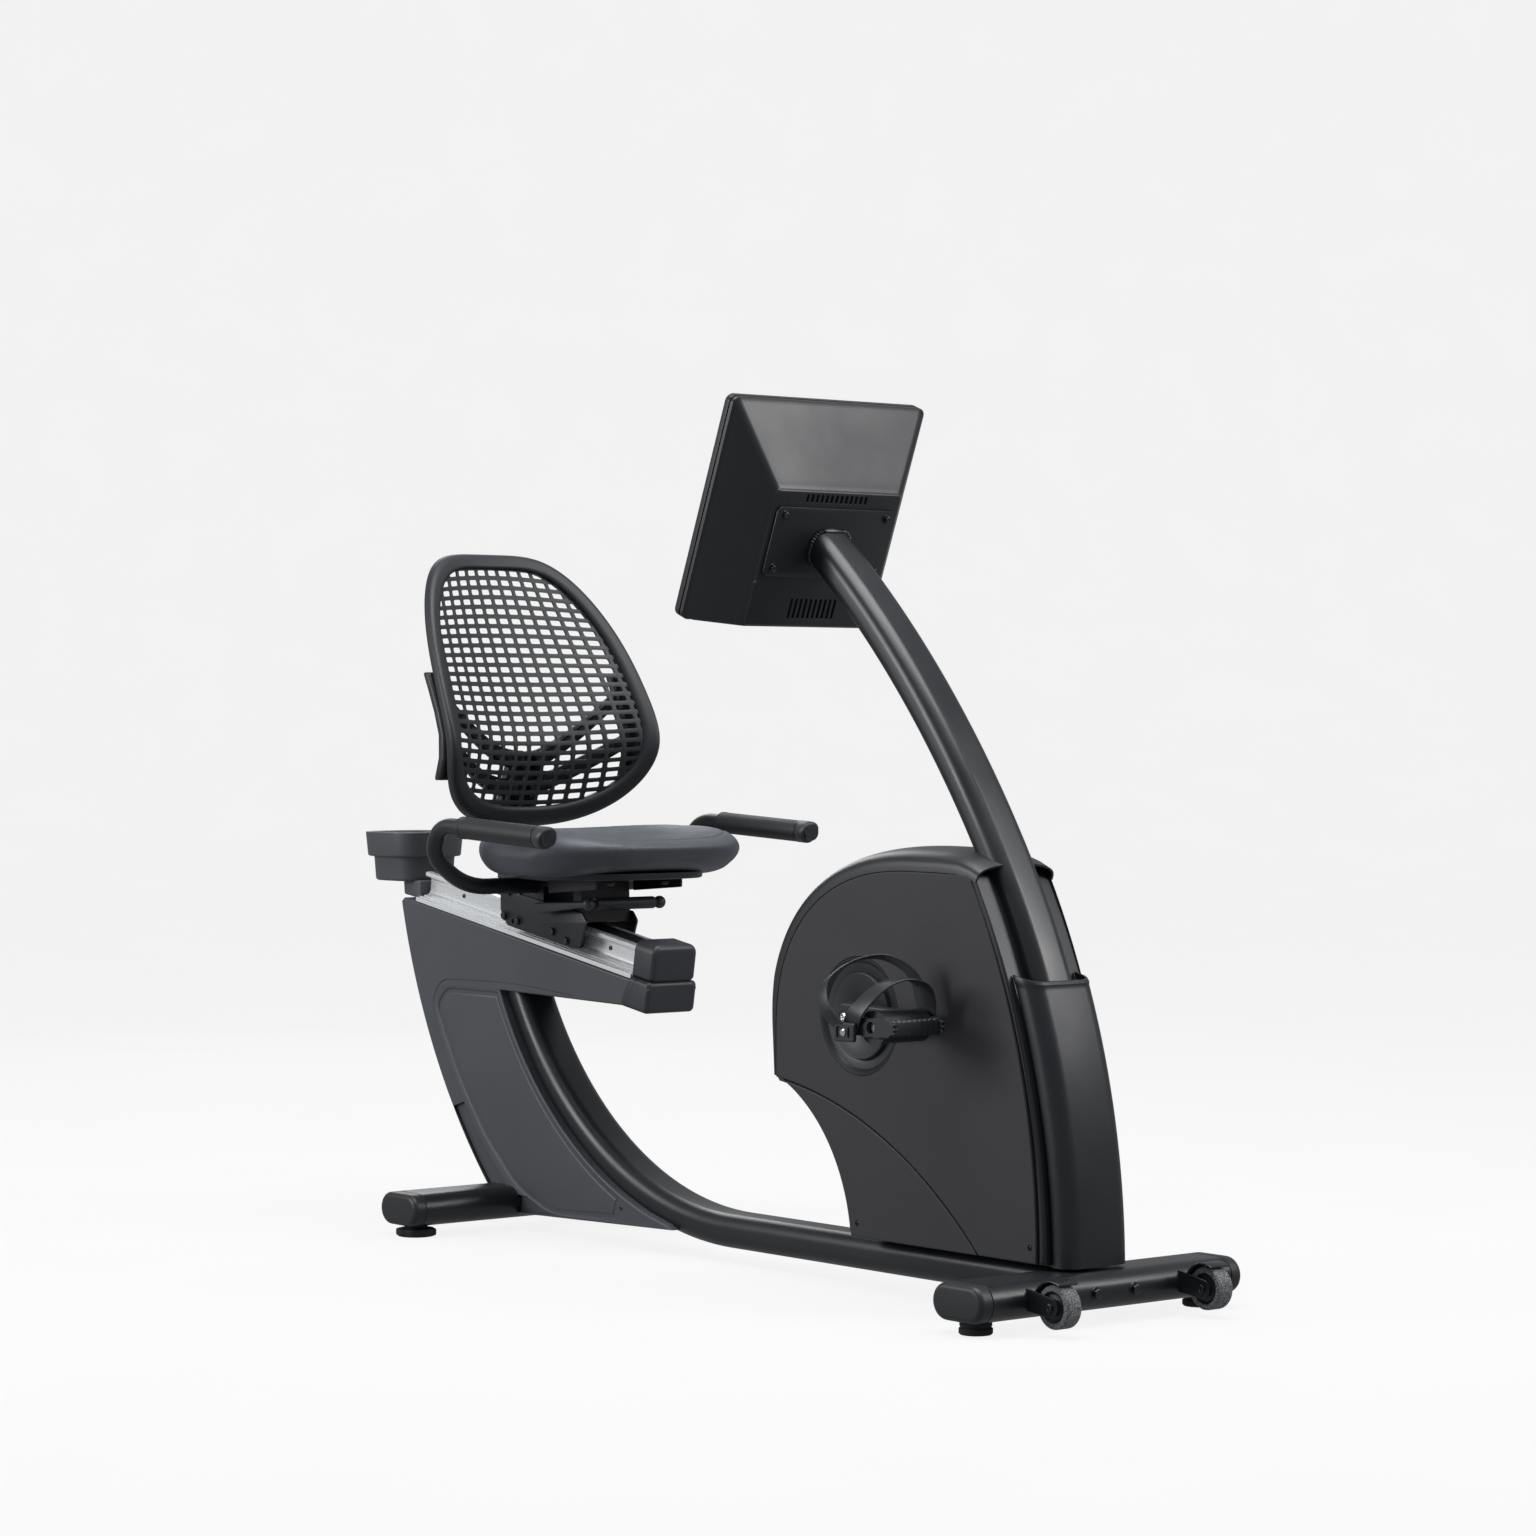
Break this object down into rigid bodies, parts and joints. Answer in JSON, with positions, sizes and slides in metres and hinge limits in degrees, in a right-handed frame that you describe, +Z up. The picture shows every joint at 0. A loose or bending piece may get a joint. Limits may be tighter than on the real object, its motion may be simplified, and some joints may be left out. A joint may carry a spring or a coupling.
{
  "type": "recumbent exercise bike",
  "caption": "Recumbent stationary exercise bike with a sliding seat on an inclined rail, mesh backrest, side handlebars, covered crank drive and a tilted console on a curved post.",
  "frame": {"origin": "on the floor under the middle of the bike's bounding box", "axes": "+X towards the console end, +Y to the rider's left, +Z up"},
  "size_m": [1.776, 0.534, 1.2576],
  "materials": {
    "satin_paint": "satin powder coat, blue black",
    "cover_plastic": "matte moulded, fine grain",
    "leg_plastic": "matte moulded, fine grain",
    "black_plastic": "matte moulded",
    "rubber": "moulded rubber",
    "grey_tread": "speckled grey rubber tread",
    "rail_aluminium": "extruded, clear anodised",
    "bare_steel": "ground and zinc plated",
    "cast_iron": "turned rim",
    "cushion_skin": "perforated vinyl skin over foam",
    "screen_glass": "black glass"
  },
  "bodies": {
    "frame": {"base_tube": "satin_paint", "rear_frame": "satin_paint", "upright_post": "satin_paint", "front_stabilizer": "satin_paint", "rear_stabilizer": "satin_paint", "front_end_cap_left": "black_plastic", "front_end_cap_right": "black_plastic", "rear_end_cap_left": "black_plastic", "rear_end_cap_right": "black_plastic", "front_foot_left": "rubber", "front_foot_right": "rubber", "post_boot": "black_plastic", "drive_cover_left": "cover_plastic", "drive_cover_right": "cover_plastic", "drive_cover_crown": "cover_plastic", "lower_cover_left": "cover_plastic", "lower_cover_right": "cover_plastic", "leg_cover_left": "leg_plastic", "leg_cover_right": "leg_plastic", "slide_rail": "rail_aluminium", "rail_insert": "black_plastic", "rail_front_cap": "black_plastic", "accessory_tray": "black_plastic", "drive_frame": "satin_paint", "drive_belt": "rubber", "console_bezel": "black_plastic", "console_screen": "screen_glass", "console_back_shell": "black_plastic", "console_bracket": "satin_paint"},
    "cranks": {"crank_axle": "bare_steel", "drive_pulley": "black_plastic", "crank_arm_left": "satin_paint", "crank_arm_right": "satin_paint"},
    "pedal_right": {"pedal_right": "black_plastic", "pedal_strap_right": "rubber"},
    "pedal_left": {"pedal_left": "black_plastic", "pedal_strap_left": "rubber"},
    "flywheel": {"flywheel": "cast_iron"},
    "brake_arm": {"brake_arm": "bare_steel"},
    "seat_carriage": {"carriage_plate_left": "satin_paint", "carriage_plate_right": "satin_paint", "seat_bracket": "satin_paint", "handlebar": "satin_paint", "grip_left": "rubber", "grip_right": "rubber", "seat_pan": "black_plastic", "seat_cushion": "cushion_skin", "backrest": "black_plastic", "backrest_support": "black_plastic"},
    "release_lever": {"release_lever": "black_plastic"},
    "transport_wheel_left": {"transport_wheel_left": "grey_tread"},
    "transport_wheel_right": {"transport_wheel_right": "grey_tread"},
    "leveling_foot_left": {"leveling_foot_left": "rubber"},
    "leveling_foot_right": {"leveling_foot_right": "rubber"},
    "front_roller_left": {"front_roller_left": "black_plastic"},
    "front_roller_right": {"front_roller_right": "black_plastic"},
    "rear_roller_left": {"rear_roller_left": "black_plastic"},
    "rear_roller_right": {"rear_roller_right": "black_plastic"}
  },
  "joints": [
    {"name": "crank_spin", "type": "hinge", "parent": "frame", "child": "cranks", "pos_m": [0.383, 0, 0.385], "axis": [0, 1, 0], "continuous": true},
    {"name": "pedal_right_spin", "type": "hinge", "parent": "cranks", "child": "pedal_right", "pos_m": [0.553, -0.152, 0.385], "axis": [0, 1, 0], "continuous": true},
    {"name": "pedal_left_spin", "type": "hinge", "parent": "cranks", "child": "pedal_left", "pos_m": [0.213, 0.152, 0.385], "axis": [0, 1, 0], "continuous": true},
    {"name": "flywheel_spin", "type": "hinge", "parent": "frame", "child": "flywheel", "pos_m": [0.571, 0, 0.215], "axis": [0, 1, 0], "continuous": true},
    {"name": "brake_swing", "type": "hinge", "parent": "frame", "child": "brake_arm", "pos_m": [0.4639, 0, 0.14], "axis": [0, -1, 0], "range_deg": [0, 5]},
    {"name": "seat_slide", "type": "slide", "parent": "frame", "child": "seat_carriage", "axis": [0.9859, 0, -0.1676], "range_m": [-0.18, 0.09]},
    {"name": "lever_lift", "type": "hinge", "parent": "seat_carriage", "child": "release_lever", "pos_m": [-0.379, 0, 0.508], "axis": [0, -1, 0], "range_deg": [0, 12], "stiffness_Nm_per_rad": 1},
    {"name": "wheel_left_spin", "type": "hinge", "parent": "frame", "child": "transport_wheel_left", "pos_m": [0.859, 0.1388, 0.0395], "axis": [0, 1, 0], "continuous": true},
    {"name": "level_left", "type": "slide", "parent": "frame", "child": "leveling_foot_left", "axis": [0, 0, -1], "range_m": [0, 0.01]},
    {"name": "wheel_right_spin", "type": "hinge", "parent": "frame", "child": "transport_wheel_right", "pos_m": [0.859, -0.1388, 0.0395], "axis": [0, 1, 0], "continuous": true},
    {"name": "level_right", "type": "slide", "parent": "frame", "child": "leveling_foot_right", "axis": [0, 0, -1], "range_m": [0, 0.01]},
    {"name": "rear_roller_left_spin", "type": "hinge", "parent": "seat_carriage", "child": "rear_roller_left", "pos_m": [-0.47225, 0.032, 0.48398], "axis": [0, 1, 0], "continuous": true},
    {"name": "rear_roller_right_spin", "type": "hinge", "parent": "seat_carriage", "child": "rear_roller_right", "pos_m": [-0.47225, -0.032, 0.48398], "axis": [0, 1, 0], "continuous": true},
    {"name": "front_roller_left_spin", "type": "hinge", "parent": "seat_carriage", "child": "front_roller_left", "pos_m": [-0.33127, 0.032, 0.46001], "axis": [0, 1, 0], "continuous": true},
    {"name": "front_roller_right_spin", "type": "hinge", "parent": "seat_carriage", "child": "front_roller_right", "pos_m": [-0.33127, -0.032, 0.46001], "axis": [0, 1, 0], "continuous": true}
  ],
  "couplings": [
    {"joint": "flywheel_spin", "follows": "crank_spin", "ratio": 4.5455},
    {"joint": "front_roller_left_spin", "follows": "seat_slide", "rad_per_m": 74.074},
    {"joint": "front_roller_right_spin", "follows": "seat_slide", "rad_per_m": 74.074},
    {"joint": "rear_roller_left_spin", "follows": "seat_slide", "rad_per_m": 74.074},
    {"joint": "rear_roller_right_spin", "follows": "seat_slide", "rad_per_m": 74.074}
  ]
}
